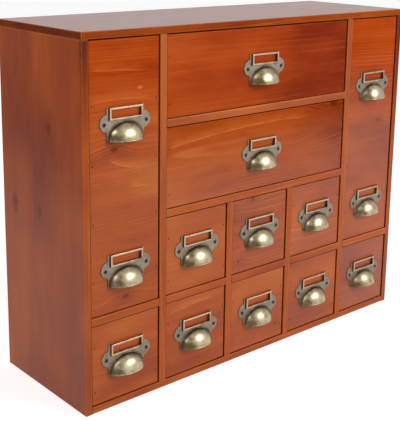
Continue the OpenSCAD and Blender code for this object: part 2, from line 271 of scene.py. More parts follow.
class OrganizerWood(bpy.types.PropertyGroup):
    """Colours and gloss of the wood."""

    # The darkest stain also paints the shade on the faces that look into the case
    stain_dark: colour_property("Darkest stain", "Inner faces, knots and end grain", (0.066, 0.008, 0.002))
    stain_deep: colour_property("Deep stain", "Where the stain has soaked in most", (0.220, 0.028, 0.004))
    stain_mid: colour_property("Stain", "Main colour of the stained pine", (0.405, 0.074, 0.008))
    stain_warm: colour_property("Light stain", "Where the stain has soaked in least", (0.500, 0.132, 0.020))
    stain_bright: colour_property("Bright streaks", "Late wood that takes little stain", (0.68, 0.21, 0.04))
    pine_mid: colour_property("Bare pine", "Main colour of the unstained trays", (0.620, 0.410, 0.205))
    pine_deep: colour_property("Bare pine, deep", "Late wood of the unstained trays", (0.440, 0.225, 0.085))
    ring_width: FloatProperty(
        name="Ring width", description="Mean distance between growth rings",
        unit="LENGTH", min=0.5 * MM, default=4.2 * MM)
    gloss_roughness: share_property(
        "Lacquer roughness", "Roughness of the lacquer on the stained boards", 0.34)
    bare_roughness: share_property("Bare roughness", "Roughness of the unlacquered trays", 0.62)
    seed: IntProperty(
        name="Seed", description="Picks the place in the log that each board is cut from", default=11)


class OrganizerPull(bpy.types.PropertyGroup):
    """Sizes and finish of the cup pulls and their fasteners."""

    plate_w: length_property("Plate width", "Without the ears", 47)
    plate_h: length_property("Plate height", "Over all", 34.5)
    plate_t: length_property("Plate thickness", "Sheet of the plate", 1.2)
    plate_ease: length_property("Plate edge", "Radius of its front edge", 0.4)
    ear_span: length_property("Ear span", "Width over both ears", 64)
    ear_r: length_property("Ear radius", "Of the round ears", 9)
    ear_rise: length_property("Ear height", "Of the ears' centres", 18.5)
    ear_fillet: length_property("Ear fillet", "Beside the ears", 1.6)
    rim_w: length_property("Frame width", "Label frame over all", 41.5)
    rim_h: length_property("Frame height", "Label frame over all", 13)
    rim_proud: length_property("Frame stand", "Of its face over the wood", 3.3)
    rim_bar: length_property("Frame bar", "Width of its bars", 2)
    rim_ease: length_property("Frame edge", "Radius of its edges", 0.5)
    card_slot: length_property("Card slot", "Depth behind the frame", 1.7)
    card_lip: length_property("Card lip", "That keeps a card in", 1.1)
    cup_r: length_property("Cup radius", "Where it meets the wood", 22.4)
    cup_depth: length_property("Cup depth", "Out from the wood", 14)
    cup_drop: length_property("Cup drop", "Of its centre below its lower edge", 3.6)
    cup_wall: length_property("Cup wall", "Thickness of the cup", 1.1)
    bead_r: length_property("Bead radius", "Bead round the cup", 0.6)
    bead_gap: length_property("Bead gap", "From the cup's foot", 0.7)
    lip_r: length_property("Lip radius", "Rolled lower lip", 0.8)
    screw_spacing: length_property("Screw spacing", "Between a pull's screws", 53)
    screw_rise: length_property("Screw height", "Over the plate's lower edge", 17.5)
    screw_head_r: length_property("Screw head", "Radius of the heads", 1.9)
    screw_r: length_property("Screw shank", "Radius of the shanks", 1.1)
    bronze: colour_property("Bronze", "Grey patina of the plates", (0.250, 0.207, 0.158))
    patina: colour_property("Dark patina", "In the hollows", (0.172, 0.137, 0.102))
    # Grime colour also paints the shade in the creases and on the label frame's walls
    grime_and_shade: colour_property("Grime", "In the creases", (0.060, 0.047, 0.036))
    umber: colour_property("Brown patina", "Cups where they are not rubbed", (0.090, 0.060, 0.026))
    # Brass also paints the highlights on the cups
    brass: colour_property("Brass", "Cups rubbed bright", (0.500, 0.425, 0.275))
    # Worn edge colour also paints the highlights on the label frame and the lip
    copper: colour_property("Worn edge", "Edges rubbed through", (0.450, 0.310, 0.200))
    steel: colour_property("Dark steel", "Screws and nails", (0.036, 0.020, 0.013))
    steel_stain: colour_property("Stained steel", "Specks on screws and nails", (0.012, 0.008, 0.006))


class OrganizerStage(bpy.types.PropertyGroup):
    """Camera, lamps and floor."""

    camera_place: place_property("Camera", "Place of the lens", (-0.7353, -0.8185, 0.5031))
    camera_yaw: angle_property("Yaw", "Turn about Z", -40.866)
    camera_pitch: angle_property("Pitch", "Down tilt", 12.346)
    camera_roll: angle_property("Roll", "About the view", 0.795)
    focal_pixels: FloatProperty(name="Focal length", description="In pixels of the picture", default=913.1)
    centre_row: FloatProperty(
        name="Centre row", description="Picture row that the lens axis meets", default=130.0)
    floor_colour: colour_property("Floor", "Pale floor", (0.80, 0.80, 0.80))
    floor_glow: FloatProperty(
        name="Floor glow", description="Whitens the floor that is seen", min=0, default=0.58)
    ambient: FloatProperty(name="Ambient", description="Light from all round", min=0, default=0.38)
    key_power: power_property("Key lamp", "Front right softbox", 25.0)
    key_size: length_property("Key lamp size", "Width of the softbox", 900)
    key_place: place_property("Key lamp place", "Front right", (0.85, -1.75, 1.08))
    side_power: power_property("Side lamp", "Left softbox", 9.0)
    side_size: length_property("Side lamp size", "Width of the softbox", 500)
    side_place: place_property("Side lamp place", "Left", (-1.35, -0.30, 1.60))
    lamp_target: place_property("Lamp target", "Point that the lamps face", (0, 0, 0.2))


class Graph:
    """Adds shader nodes to a tree. Each value is a socket to link or a plain number or colour."""

    def __init__(self, tree):
        self.tree = tree

    def add(self, kind, values=None, **settings):
        node = self.tree.nodes.new(kind)
        for name, setting in settings.items():
            setattr(node, name, setting)
        self.fill(node, values or {})
        return node

    def fill(self, node, values):
        for key, value in values.items():
            self.set(node.inputs[key], value)

    def set(self, socket, value):
        if isinstance(value, bpy.types.NodeSocket):
            self.tree.links.new(value, socket)
        elif socket.type == "RGBA" and len(value) == 3:
            socket.default_value = (*value, 1)
        else:
            socket.default_value = value

    def math(self, operation, *values, clamp=False):
        node = self.add("ShaderNodeMath", dict(enumerate(values)), operation=operation, use_clamp=clamp)
        return node.outputs[0]

    def plus(self, *values):
        return reduce(partial(self.math, "ADD"), values)

    def times(self, *values):
        return reduce(partial(self.math, "MULTIPLY"), values)

    def most(self, *values):
        return reduce(partial(self.math, "MAXIMUM"), values)

    def minus(self, a, b):
        return self.math("SUBTRACT", a, b)

    def about_zero(self, value, gain):
        """A value from 0 to 1, moved to lie about 0 and multiplied by a gain."""
        return self.times(self.minus(value, 0.5), gain)

    def vector(self, operation, a, b=(0, 0, 0)):
        node = self.add("ShaderNodeVectorMath", {0: a, 1: b}, operation=operation)
        return node.outputs["Value" if operation in ("LENGTH", "DOT_PRODUCT") else "Vector"]

    def parts(self, vector):
        """The X, Y and Z of a vector."""
        return self.add("ShaderNodeSeparateXYZ", {0: vector}).outputs

    def noise(self, vector, stretch, detail=2.0, roughness=0.5):
        """Noise from 0 to 1 whose frequency along each axis is given per metre."""
        scaled = self.vector("MULTIPLY", vector, stretch)
        values = {"Vector": scaled, "Scale": 1.0, "Detail": detail, "Roughness": roughness}
        return self.add("ShaderNodeTexNoise", values).outputs["Fac"]

    def step(self, value, start, end, low=0.0, high=1.0):
        """Smooth step of a value, from low at start to high at end."""
        values = {"Value": value, "From Min": start, "From Max": end, "To Min": low, "To Max": high}
        return self.add("ShaderNodeMapRange", values, interpolation_type="SMOOTHSTEP").outputs["Result"]

    def fall(self, value, start, end, high=1.0):
        """Smooth step of a value, from high at start to 0 at end."""
        return self.step(value, start, end, high, 0.0)

    def mix(self, factor, a, b, blend="MIX", kind="RGBA"):
        """Mix of two colours, or of two vectors."""
        node = self.add("ShaderNodeMix", data_type=kind, blend_type=blend)
        self.set(node.inputs["Factor"], factor)
        ends = [s for s in node.inputs if s.type == kind and s.name in "AB"]
        self.set(ends[0], a)
        self.set(ends[1], b)
        return next(s for s in node.outputs if s.type == kind)


def new_material(name):
    """An empty node material, its graph, its shader and its texture coordinates."""
    material = bpy.data.materials.new(name)
    material.use_nodes = True
    tree = material.node_tree
    tree.nodes.clear()
    graph = Graph(tree)
    shader = graph.add("ShaderNodeBsdfPrincipled")
    graph.add("ShaderNodeOutputMaterial", {"Surface": shader.outputs["BSDF"]})
    return material, graph, shader, graph.add("ShaderNodeTexCoord").outputs


def add_bump(g, shader, height, strength, distance):
    """Gives a shader fine relief."""
    bump = g.add("ShaderNodeBump", {"Strength": strength, "Distance": distance, "Height": height})
    g.set(shader.inputs["Normal"], bump.outputs["Normal"])


def finish_node(name, material):
    """Gives a carried-over CAD node its material."""
    mesh = frame["nodes"][name].data
    mesh.materials.clear()
    mesh.materials.append(material)


def pine_group(name, colours, ring_width):
    """Shader group for pine in five colours from dark to bright. Rings are counted by the distance from
    the pith, which runs along X, shifted by slow noise that is drawn out along the grain; fibres and
    blotches are noise drawn out in the same way."""
    dark, deep, mid, warm, bright = colours
    tree = bpy.data.node_groups.new(name, "ShaderNodeTree")
    for socket in ("Vector", "Warp", "Knot", "Fleck", "Edge", "Soak", "Tone", "Streak"):
        kind = "NodeSocketVector" if socket == "Vector" else "NodeSocketFloat"
        tree.interface.new_socket(name=socket, in_out="INPUT", socket_type=kind)
    for socket in ("Color", "Shine", "Height"):
        kind = "NodeSocketColor" if socket == "Color" else "NodeSocketFloat"
        tree.interface.new_socket(name=socket, in_out="OUTPUT", socket_type=kind)
    g = Graph(tree)
    given = g.add("NodeGroupInput").outputs
    point, edge, soak_and_shade, strength = given["Vector"], given["Edge"], given["Soak"], given["Streak"]
    # Distance from the pith, bent by slow and by middling noise, and the rings that it counts
    slow = g.about_zero(g.noise(point, (2, 9, 9), 1.0), 0.030)
    middling = g.about_zero(g.noise(point, (10, 60, 60)), 0.0030)
    radius = g.vector("LENGTH", g.vector("MULTIPLY", point, (0, 1, 1)))
    radius = g.plus(radius, slow, middling, given["Warp"])
    uneven = {"W": radius, "Scale": 45.0, "Detail": 1.0}
    years = g.add("ShaderNodeTexNoise", uneven, noise_dimensions="1D").outputs["Fac"]
    ring = g.math("FRACT", g.plus(g.math("DIVIDE", radius, ring_width), g.times(years, 3.0)))
    late = g.times(g.step(ring, 0.66, 0.88), g.fall(ring, 0.92, 1.0))
    # Streaks come and go along the board
    shown = g.step(g.noise(point, (5, 24, 24)), 0.48, 0.74)
    fibre = g.noise(point, (30, 700, 700), 3.0, 0.6)
    blotch = g.noise(point, (7, 17, 17), 3.0, 0.55)
    band = g.noise(point, (3, 62, 62))
    pores = g.step(g.noise(point, (60, 1500, 1500), 1.0), 0.66, 0.80, 0.0, 0.28)
    # Stain from deep at 0 over the main colour at 0.5 to light at 1, and darkest below 0
    tone = g.plus(0.50, given["Tone"], g.about_zero(blotch, 1.35), g.about_zero(fibre, 0.26),
                  g.about_zero(band, g.math("MULTIPLY_ADD", strength, 1.2, 0.10)),
                  g.times(g.step(ring, 0.0, 0.66, -0.08, 0.05), strength))
    tone = g.minus(tone, pores)
    colour = g.mix(g.math("MULTIPLY", tone, 2.0, clamp=True), deep, mid)
    colour = g.mix(g.math("MULTIPLY_ADD", tone, 2.0, -1.0, clamp=True), colour, warm)
    colour = g.mix(g.math("MULTIPLY", tone, -2.0, clamp=True), colour, dark)
    streak = g.times(late, g.plus(shown, 0.06), strength)
    colour = g.mix(g.math("MAXIMUM", streak, given["Fleck"], clamp=True), colour, bright)
    # Darkens towards the darkest stain: more stain on end grain, partly painted shade on the top's upper
    # face and painted shade on the faces in the gaps
    colour = g.mix(soak_and_shade, colour, dark)
    # Rubbed edges turn bright, as wear and as a painted highlight, less where the face is darkened
    colour = g.mix(g.times(edge, g.math("MULTIPLY_ADD", soak_and_shade, -0.20, 0.30)), colour, bright)
    colour = g.mix(given["Knot"], colour, g.mix(0.4, dark, deep))
    shine = g.plus(g.times(fibre, 0.16), g.about_zero(blotch, 0.12), g.times(edge, 0.10))
    height = g.plus(g.times(fibre, 0.6), g.times(late, 0.4))
    g.add("NodeGroupOutput", {"Color": colour, "Shine": shine, "Height": height})
    return tree


def unit(axis):
    """Unit vector along an axis that is given by its letter."""
    return Vector([float(a == axis) for a in "XYZ"])


def grain_vector(g, place, node, grain, face, log):
    """Coordinates of a board with its grain along X and the pith of its log at the origin. log is how
    far along, how deep and how far across the board lies in the log."""
    turn = GRAIN_TURN[grain]
    lo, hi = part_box(node)
    middle = turn.to_matrix() @ ((lo + hi) / 2)
    along, depth, across = log
    depth_axis = turn.to_matrix() @ unit(face)
    offset = Vector((along, across, across))
    for i in (1, 2):
        if abs(depth_axis[i]) > 0.5:
            offset[i] = depth
    values = {"Vector": place["Object"], "Location": offset - middle, "Rotation": turn}
    return g.add("ShaderNodeMapping", values).outputs["Vector"]


def edge_mask(g, place, node, reach):
    """1 along the edges of a board's box and 0 past the reach, by the middle one of the three distances
    to its faces."""
    lo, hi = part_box(node)
    middle, half = (lo + hi) / 2, (hi - lo) / 2
    from_middle = g.vector("ABSOLUTE", g.vector("SUBTRACT", place["Object"], middle))
    x, y, z = g.parts(g.vector("SUBTRACT", half, from_middle))
    second = g.most(g.math("MINIMUM", x, y), g.math("MINIMUM", g.most(x, y), z))
    rough = g.noise(place["Object"], (160, 160, 160))
    return g.fall(g.plus(second, g.about_zero(rough, reach)), 0.0, reach)


def soak_and_shade_mask(g, place, grain, node):
    """How much darker a face is made: a little more stain on end grain, more on the top's upper face, which
    is partly painted shade, and much on the faces that look into the case, which is painted shade in the
    gaps."""
    facing = partial(g.vector, "DOT_PRODUCT", place["Normal"])
    ends = g.step(g.math("ABSOLUTE", facing(unit(grain))), 0.80, 0.95, 0.0, 0.50)
    # The top's upper face is darkened like end grain, partly as painted shade
    if node == "top_board":
        ends = g.most(ends, g.step(facing(unit("Z")), 0.70, 0.99, 0.0, 0.50))
    # Faces that look into the case or face the gaps take the darkest stain as painted shade
    if node in INWARD:
        inner = g.step(facing(INWARD[node]), 0.55, 0.90, 0.0, 0.85)
    elif node in CASE_BOARDS or node.endswith("_front"):
        inner = g.step(g.math("ABSOLUTE", facing(unit("Y"))), 0.45, 0.10, 0.0, 0.85)
    else:
        return g.times(ends, 0.3)
    return g.most(ends, inner)


def spots(g, place, grain, marks, core_end, strength):
    """Round marks that are drawn out along the grain: strength inside each, fading out past its radius,
    and the distances from all of them in radii."""
    squeeze = [0.55 if axis == grain else 1.0 for axis in "XYZ"]
    wobble = g.about_zero(g.noise(place["Object"], (190, 190, 190)), 0.9)
    field, distances = 0.0, []
    for centre, radius in marks:
        away = g.vector("MULTIPLY", g.vector("SUBTRACT", place["Object"], centre), squeeze)
        away = g.math("DIVIDE", g.vector("LENGTH", away), radius)
        field = g.most(field, g.fall(g.plus(away, wobble), 0.30, core_end, strength))
        distances.append((away, radius))
    return field, distances


def arc_field(g, place, arcs):
    """Pale lines along parabolas through three points each, with a soft pale band above, fading towards
    both ends and broken up by noise."""
    x, _, z = g.parts(place["Object"])
    patchy = g.step(g.noise(place["Object"], (45, 45, 160)), 0.28, 0.62, 0.30, 0.70)
    wobble = g.about_zero(g.noise(place["Object"], (40, 40, 40)), 3 * MM)
    field = 0.0
    for points in arcs:
        across, up = np.array(points).T
        curve, slope, rise = np.polyfit(across, up, 2)
        line = g.plus(g.times(x, g.plus(g.times(x, curve), slope)), rise)
        away = g.minus(g.minus(z, line), wobble)
        pale = g.most(g.fall(away, 0.0, 2.2 * MM), g.fall(away, 0.0, 11 * MM, 0.45))
        start = g.step(x, across[0], across[0] + 12 * MM)
        end = g.fall(x, across[-1] - 30 * MM, across[-1])
        field = g.most(field, g.times(g.step(away, -0.8 * MM, 0.0), pale, start, end))
    return g.times(field, patchy)


def board_tone(g, parts, node, finish):
    """Brightness of a board's stain: it leans to one side, and painted shade darkens the front edges of the
    sides under the top."""
    x, y, z = parts
    lo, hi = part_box(node)
    right, upward = finish.lean
    tone = finish.tone
    if right:
        tone = g.math("MULTIPLY_ADD", x, right, tone - right * (lo.x + hi.x) / 2)
    if upward:
        tone = g.plus(tone, g.math("MULTIPLY_ADD", z, upward, -upward * (lo.z + hi.z) / 2))
    # Painted shade under the top on the sides' front edges
    if node.startswith("side_"):
        under = g.step(z, *SHADE_HEIGHTS, 0.0, SHADE)
        tone = g.math("MULTIPLY_ADD", under, g.fall(y, lo.y + 1 * MM, lo.y + 5 * MM), tone)
    return tone


def board_gloss(g, place, z, node):
    """Share of a board's gloss that shows at a point, or None for the same all over: the top shines on
    its upper face only, and the sides and some fronts turn dull towards the top."""
    if node == "top_board":
        return g.step(g.vector("DOT_PRODUCT", place["Normal"], unit("Z")), 0.60, 0.95, 0.06, 1.0)
    if node in DULL_HEIGHTS:
        return g.step(z, *DULL_HEIGHTS[node])
    return None


def board_shader(g, shader, place, node, group, grain, vector, finish):
    """Finish of one board: knots, flecks, single rings, rubbed edges with a painted highlight, end grain and
    painted shade on the faces in the gaps over the pine group. Drawer fronts turn redder under the top, and
    the tall ones have fewer streaks lower down."""
    parts = g.parts(place["Object"])
    streak = finish.streak
    if node in TALL_FRONTS:
        streak = g.step(parts["Z"], *STREAK_HEIGHTS, STREAK_LEAST * streak, streak)
    dark, warp = 0.0, 0.0
    if node in KNOTS:
        dark, distances = spots(g, place, grain, KNOTS[node], 1.15, 0.85)
        for away, radius in distances:
            dark = g.most(dark, g.fall(away, 0.6, 3.4, 0.30))
            warp = g.plus(warp, g.fall(away, 0.2, 5.0, 1.6 * radius))
    pale = arc_field(g, place, ARCS[node]) if node in ARCS else 0.0
    if node in FLECKS:
        pale = g.most(pale, spots(g, place, grain, FLECKS[node], 1.2, 1.0)[0])
    values = {"Vector": vector, "Warp": warp, "Knot": dark, "Fleck": pale, "Streak": streak,
              "Edge": edge_mask(g, place, node, RUBBED_AND_HIGHLIT_EDGE), "Soak": soak_and_shade_mask(g, place, grain, node),
              "Tone": board_tone(g, parts, node, finish)}
    pine = g.add("ShaderNodeGroup", values, node_tree=group).outputs
    colour = pine["Color"]
    if node.endswith("_front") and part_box(node)[1].z > RED_HEIGHTS[0]:
        colour = g.mix(g.step(parts["Z"], *RED_HEIGHTS), colour, RED_TINT, blend="MULTIPLY")
    shown = board_gloss(g, place, parts["Z"], node)
    gloss, coat = finish.gloss, finish.coat
    if shown is not None:
        gloss, coat = g.times(shown, gloss), g.times(shown, coat)
    g.fill(shader, {"Base Color": colour, "Roughness": g.plus(pine["Shine"], finish.roughness),
                    "Specular IOR Level": gloss, "Coat Weight": coat, "Coat Roughness": COAT_ROUGHNESS})
    add_bump(g, shader, pine["Height"], 0.22, 0.25 * MM)


def board_material(name, node, group, grain, face, log, finish):
    """Material of one board that is cut from its own place in the log."""
    material, g, shader, place = new_material(name)
    vector = grain_vector(g, place, node, grain, face, log)
    board_shader(g, shader, place, node, group, grain, vector, finish)
    return material


def tray_material(name, node, group, log, finish):
    """Material of a tray: grain from front to back in its sides, and across in its back and bottom."""
    material, g, shader, place = new_material(name)
    lo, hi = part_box(node)
    x, y, _ = g.parts(place["Object"])
    from_middle = g.math("ABSOLUTE", g.minus(x, (lo.x + hi.x) / 2))
    inside = g.math("LESS_THAN", from_middle, (hi.x - lo.x) / 2 - TRAY_WALL)
    back = g.math("GREATER_THAN", y, hi.y - TRAY_WALL - 0.05 * MM)
    lengthwise = grain_vector(g, place, node, "Y", "X", log)
    crosswise = grain_vector(g, place, node, "X", "Y", log)
    vector = g.mix(g.most(inside, back), lengthwise, crosswise, kind="VECTOR")
    board_shader(g, shader, place, node, group, "Z", vector, finish)
    return material


def cut_from_log(rng):
    """Where a board lies in its log: along it, depth from the pith and offset across, in metres."""
    return (rng.uniform(0, 9), rng.uniform(0.028, 0.060), rng.uniform(-0.035, 0.035))


def stained_group(wood):
    """The stained pine group, made once and shared by every stained board."""
    found = bpy.data.node_groups.get("stained_pine")
    colours = (wood.stain_dark, wood.stain_deep, wood.stain_mid, wood.stain_warm, wood.stain_bright)
    return found or pine_group("stained_pine", colours, wood.ring_width)


def blend(a, b, share):
    """Colour that has the given share of b and the rest of a."""
    return tuple((1 - share) * u + share * v for u, v in zip(a, b))


def paler(colour, gain):
    """Colour multiplied by a gain."""
    return tuple(gain * c for c in colour)


class ORGANIZER_OT_case_boards(bpy.types.Operator):
    """Stain and lacquer the boards of the case"""

    bl_idname = "organizer.case_boards"
    bl_label = "Case boards"

    def execute(self, context):
        wood = context.scene.organizer_wood
        group = stained_group(wood)
        rng = np.random.RandomState(wood.seed)
        plain = Finish(*PLAIN_FINISH, wood.gloss_roughness)
        side = Finish(*SIDE_FINISH, wood.gloss_roughness)
        top = Finish(*TOP_FINISH, wood.gloss_roughness - TOP_SMOOTHER)
        finishes = {"top_board": top, "side_left": side, "side_right": side}
        for name, (grain, face) in CASE_BOARDS.items():
            finish = finishes.get(name, plain)
            log = cut_from_log(rng)
            finish_node(name, board_material("stain_" + name, name, group, grain, face, log, finish))
        return {"FINISHED"}


class ORGANIZER_OT_back_panel(bpy.types.Operator):
    """Finish the thin plywood back"""

    bl_idname = "organizer.back_panel"
    bl_label = "Back panel"

    def execute(self, context):
        wood = context.scene.organizer_wood
        colours = (wood.stain_deep, blend(wood.stain_mid, wood.pine_deep, 0.5),
                   blend(wood.stain_mid, wood.pine_mid, 0.65), wood.pine_mid, paler(wood.pine_mid, 1.25))
        group = pine_group("plywood", colours, 2.4 * wood.ring_width)
        log = cut_from_log(np.random.RandomState(wood.seed + 1))
        finish = Finish(0.02, EVEN, 0.70, 0.25, 0.0, wood.bare_roughness)
        finish_node("back_panel", board_material("plywood_back", "back_panel", group, "X", "Y", log, finish))
        return {"FINISHED"}


class ORGANIZER_OT_drawer_fronts(bpy.types.Operator):
    """Stain and lacquer the twelve drawer fronts"""

    bl_idname = "organizer.drawer_fronts"
    bl_label = "Drawer fronts"

    def execute(self, context):
        wood = context.scene.organizer_wood
        group = stained_group(wood)
        rng = np.random.RandomState(wood.seed + 2)
        for drawer in DRAWERS:
            node = drawer + "_front"
            finish = Finish(*FRONT_FINISH[drawer], FRONT_COAT, wood.gloss_roughness)
            log = cut_from_log(rng)
            if drawer in TALL_DRAWERS:
                log = (log[0], *TALL_CUT)
            finish_node(node, board_material("stain_" + node, node, group, "X", "Y", log, finish))
        return {"FINISHED"}


class ORGANIZER_OT_drawer_trays(bpy.types.Operator):
    """Finish the bare pine trays"""

    bl_idname = "organizer.drawer_trays"
    bl_label = "Drawer trays"

    def execute(self, context):
        wood = context.scene.organizer_wood
        colours = (wood.stain_mid, wood.pine_deep, wood.pine_mid, paler(wood.pine_mid, 1.15), wood.pine_deep)
        group = pine_group("bare_pine", colours, wood.ring_width)
        rng = np.random.RandomState(wood.seed + 3)
        for drawer in DRAWERS:
            node = drawer + "_tray"
            finish = Finish(rng.uniform(0.05, 0.2), EVEN, 1.3, 0.3, 0.0, wood.bare_roughness)
            finish_node(node, tray_material("bare_" + node, node, group, cut_from_log(rng), finish))
        return {"FINISHED"}


def grid_quads(rows, columns, wrap=False):
    """Quads of a rows by columns grid of points, the columns closed on themselves if wrap."""
    i = np.arange(rows - 1)[:, None]
    j = np.arange(columns if wrap else columns - 1)[None, :]
    k = (j + 1) % columns
    corners = [i * columns + j, i * columns + k, (i + 1) * columns + k, (i + 1) * columns + j]
    return np.stack(corners, axis=-1).reshape(-1, 4)


def joined(shells):
    """One list of points and faces from several shells."""
    points, faces, count = [], [], 0
    for p, f in shells:
        points.append(p)
        faces += [[v + count for v in face] for face in f]
        count += len(p)
    return np.concatenate(points), faces


def capped_tube(points):
    """Shell of a grid of rings, each closed on itself, with a flat face on both ends."""
    rings, around = points.shape[:2]
    faces = grid_quads(rings, around, wrap=True).tolist()
    faces += [list(range(around)), list(range((rings - 1) * around, rings * around))]
    return points.reshape(-1, 3), faces


def arc(centre, r, start, end, steps):
    """Points of a circle about a centre, from one angle to another."""
    a = np.linspace(start, end, steps)
    return np.stack([centre[0] + r * np.cos(a), centre[1] + r * np.sin(a)], axis=-1)


def plate_outline(p):
    """Outline of the plate from the front, counter-clockwise: a rectangle with an arch cut from below for
    the cup, a round ear with fillets on each side, and a notch from above behind the label frame. The
    right half is mirrored."""
    half = p.plate_w / 2
    ear_x = p.ear_span / 2 - p.ear_r
    web_x = half + p.ear_fillet
    web_z = math.sqrt((p.ear_r + p.ear_fillet) ** 2 - (web_x - ear_x) ** 2)
    lean = math.atan2(web_z, ear_x - web_x)
    notch = p.rim_w / 2 - p.rim_bar + p.card_lip
    # The arch ends inside the cup's wall
    wide, _, high = np.array(cup_axes(p)) - 0.9 * p.cup_wall
    right = np.concatenate([
        arc((0, 0), 1, math.pi / 2, 0, 20)[1:] * (wide, high),
        [(half, 0)],
        arc((web_x, p.ear_rise - web_z), p.ear_fillet, math.pi, lean, 6),
        arc((ear_x, p.ear_rise), p.ear_r, lean - math.pi, math.pi - lean, 30)[1:-1],
        arc((web_x, p.ear_rise + web_z), p.ear_fillet, -lean, -math.pi, 6),
        [(half, p.plate_h), (notch, p.plate_h), (notch, p.plate_h - p.rim_h + p.rim_bar - p.card_lip)],
    ])
    return np.concatenate([[(0, high)], right, right[::-1] * (-1, 1)])


def inset(outline, distance):
    """Outline moved inwards along the mitre of each corner."""
    ahead = np.roll(outline, -1, axis=0) - outline
    normal = np.stack([-ahead[:, 1], ahead[:, 0]], axis=-1) / np.linalg.norm(ahead, axis=1)[:, None]
    before = np.roll(normal, 1, axis=0)
    mitre = (normal + before) / (1 + np.sum(normal * before, axis=1))[:, None]
    return outline + distance * mitre


def screw_hole(p, side, around=20):
    """Countersunk hole for one screw: circles from the back of the plate to its front."""
    turn = np.linspace(0, 2 * math.pi, around, endpoint=False)
    radii = np.array([p.screw_r, p.screw_r, p.screw_head_r])[:, None] + SCREW_GAP
    depths = np.array([0, p.plate_t - p.screw_head_r + p.screw_r, p.plate_t])[:, None]
    x = side * p.screw_spacing / 2 + radii * np.cos(turn)
    return np.stack([x, np.broadcast_to(-depths, x.shape), p.screw_rise + radii * np.sin(turn)], axis=-1)


def plate_shell(p, steps=5):
    """Plate: its outline carried from the wood to the front, where it draws in along a quarter circle and
    then runs flat to the end of the worn edge. Two countersunk holes run through it."""
    outline = plate_outline(p)
    turn = np.linspace(0, math.pi / 2, steps)
    draws = np.concatenate([[0], p.plate_ease * (1 - np.cos(turn)), [WORN_EDGE]])
    depths = np.concatenate([[0], p.plate_t - p.plate_ease * (1 - np.sin(turn)), [p.plate_t]])
    loops = [inset(outline, d) for d in draws]
    rim = np.stack([np.stack([loop[:, 0], np.full(len(loop), -y), loop[:, 1]], axis=-1)
                    for loop, y in zip(loops, depths)])
    points, faces, ends, count = [], [], ([], []), 0
    for rings in (rim, screw_hole(p, -1), screw_hole(p, 1)):
        index = count + np.arange(rings.shape[0] * rings.shape[1]).reshape(rings.shape[:2])
        points.append(rings.reshape(-1, 3))
        faces += (grid_quads(*rings.shape[:2], wrap=True) + count).tolist()
        count += index.size
        for k, cap in zip((0, -1), ends):
            cap.append((index[k], rings[k]))
    for cap in ends:
        corners = np.concatenate([index for index, _ in cap])
        flat = tessellate_polygon([[Vector(v) for v in ring] for _, ring in cap])
        faces += corners[np.array(flat)].tolist()
    return np.concatenate(points), faces


def rim_shell(p, steps=5, corner_steps=4):
    """Front bars of the label frame: a bar with eased edges carried round a rectangle with small round
    corners."""
    half_w, half_h, half_bar = p.rim_w / 2, p.rim_h / 2, p.rim_bar / 2
    turn = np.linspace(0, math.pi / 2, steps)
    outer, inner = p.rim_ease, 0.5 * p.rim_ease
    across = np.concatenate([[half_bar], half_bar - outer * (1 - np.cos(turn)),
                             -half_bar + inner * (1 - np.sin(turn)), [-half_bar]])
    stand = np.concatenate([[p.card_slot], p.rim_proud - outer * (1 - np.sin(turn)),
                            p.rim_proud - inner * (1 - np.cos(turn)), [p.card_slot]])
    radius = INNER_CORNER + (OUTER_CORNER - INNER_CORNER) * (across / half_bar + 1) / 2
    quarter = np.linspace(0, math.pi / 2, corner_steps)
    angles = np.concatenate([quarter + k * math.pi / 2 for k in range(4)])
    sign_x = np.repeat([1, -1, -1, 1], corner_steps)
    sign_z = np.repeat([1, 1, -1, -1], corner_steps)
    grow = across - half_bar - radius
    x = sign_x[:, None] * (half_w + grow) + radius * np.cos(angles)[:, None]
    z = sign_z[:, None] * (half_h + grow) + radius * np.sin(angles)[:, None]
    y = np.broadcast_to(-stand, x.shape)
    points = np.stack([x, y, z + p.plate_h - half_h], axis=-1)
    closed = np.concatenate([points, points[:1]])
    return closed.reshape(-1, 3), grid_quads(len(closed), len(across), wrap=True).tolist()


def rim_legs(p):
    """Walls that carry the label frame on the plate: a flat bar carried down, along and up, open on top."""
    leg = p.rim_bar - p.card_lip
    across = np.array([0, leg, leg, 0])
    # From inside the plate to inside the front bars
    depth = np.array([0.3, 0.3, 1, 1]) * (p.card_slot + 0.3 * MM)
    side, low = p.rim_w / 2 - across, p.plate_h - p.rim_h + across
    top = np.full(4, p.plate_h)
    path = [(-side, top), (-side, low), (side, low), (side, top)]
    return capped_tube(np.stack([np.stack([x, -depth, z], axis=-1) for x, z in path]))


def cup_axes(p):
    """Half axes of the ellipsoid that the cup is a quarter of, across, out from the wood and up. They
    keep the cup's width, depth and height over its lower edge, and its sides leave the wood square."""
    r = (p.cup_r ** 2 + p.cup_depth ** 2) / (2 * p.cup_depth)
    wide = math.sqrt(p.cup_r ** 2 - p.cup_drop ** 2)
    deep = math.sqrt(r ** 2 - p.cup_drop ** 2) - r + p.cup_depth
    return wide, deep, p.cup_r - p.cup_drop


def cup_sheet(axes, rows, columns):
    """Quarter of an ellipsoid over the lower edge and in front of the wood: at each height an ellipse,
    from where it leaves the wood on one side to where it meets it on the other."""
    wide, deep, high = axes
    lift = np.linspace(0, math.pi / 2, rows)[:, None]
    turn = np.linspace(-math.pi / 2, math.pi / 2, columns)[None, :]
    return np.stack([wide * np.cos(lift) * np.sin(turn), -deep * np.cos(lift) * np.cos(turn),
                     np.broadcast_to(high * np.sin(lift), (rows, columns))], axis=-1)


